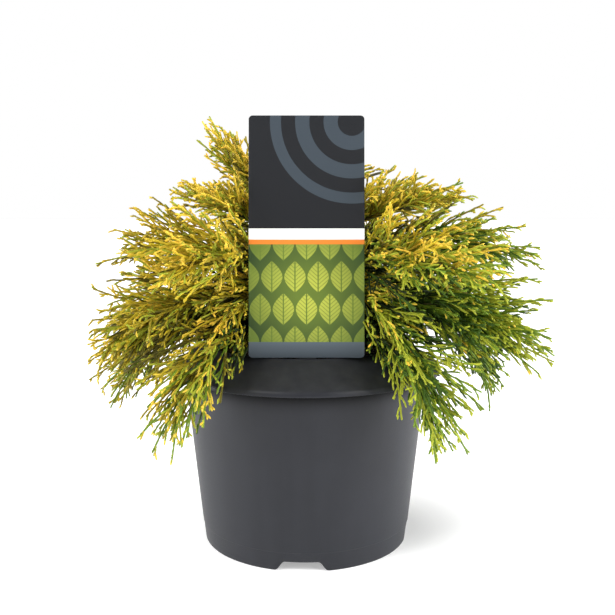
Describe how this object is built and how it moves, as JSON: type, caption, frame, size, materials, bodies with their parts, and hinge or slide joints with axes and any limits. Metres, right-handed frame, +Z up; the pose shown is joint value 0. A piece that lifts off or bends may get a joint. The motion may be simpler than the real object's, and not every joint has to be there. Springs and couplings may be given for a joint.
{
  "type": "potted golden threadleaf sawara cypress",
  "caption": "Low mop of drooping golden-green threads on a short leaning trunk, in a charcoal nursery pot with a sloping brim, behind a stiff upright plant label.",
  "frame": {"origin": "middle of the pot's underside, in the plane it stands on", "axes": "+Z up, the label faces -Y, +X to the right as seen from the label's side"},
  "size_m": [0.3166, 0.286, 0.2929],
  "materials": {
    "pot_plastic": "matte charcoal moulded plastic with a soft sheen",
    "compost": "dark crumbly bark compost",
    "label_card": "printed stiff plastic card, half matt",
    "bark": "stringy red-brown bark",
    "foliage": "golden yellow to green scale-leaved threads"
  },
  "bodies": {
    "root": {"bough_breast_1": "bark", "bough_brow_1": "bark", "bough_cheek_1": "bark", "bough_cheek_2": "bark", "bough_lower_1": "bark", "bough_lower_2": "bark", "bough_lower_3": "bark", "bough_lower_4": "bark", "bough_lower_5": "bark", "bough_lower_6": "bark", "bough_middle_1": "bark", "bough_middle_2": "bark", "bough_middle_3": "bark", "bough_middle_4": "bark", "bough_middle_5": "bark", "bough_middle_6": "bark", "bough_skirt_1": "bark", "bough_skirt_2": "bark", "bough_skirt_3": "bark", "bough_skirt_4": "bark", "bough_skirt_5": "bark", "bough_skirt_6": "bark", "bough_upper_1": "bark", "bough_upper_2": "bark", "bough_upper_3": "bark", "bough_upper_4": "bark", "bough_upper_5": "bark", "foliage_breast_1": "foliage", "foliage_brow_1": "foliage", "foliage_cheek_1": "foliage", "foliage_cheek_2": "foliage", "foliage_lower_1": "foliage", "foliage_lower_2": "foliage", "foliage_lower_3": "foliage", "foliage_lower_4": "foliage", "foliage_lower_5": "foliage", "foliage_lower_6": "foliage", "foliage_middle_1": "foliage", "foliage_middle_2": "foliage", "foliage_middle_3": "foliage", "foliage_middle_4": "foliage", "foliage_middle_5": "foliage", "foliage_middle_6": "foliage", "foliage_skirt_1": "foliage", "foliage_skirt_2": "foliage", "foliage_skirt_3": "foliage", "foliage_skirt_4": "foliage", "foliage_skirt_5": "foliage", "foliage_skirt_6": "foliage", "foliage_top_1": "foliage", "foliage_tuft_1": "foliage", "foliage_upper_1": "foliage", "foliage_upper_2": "foliage", "foliage_upper_3": "foliage", "foliage_upper_4": "foliage", "foliage_upper_5": "foliage", "label": "label_card", "pot": "pot_plastic", "soil": "compost", "trunk": "bark"}
  },
  "joints": []
}
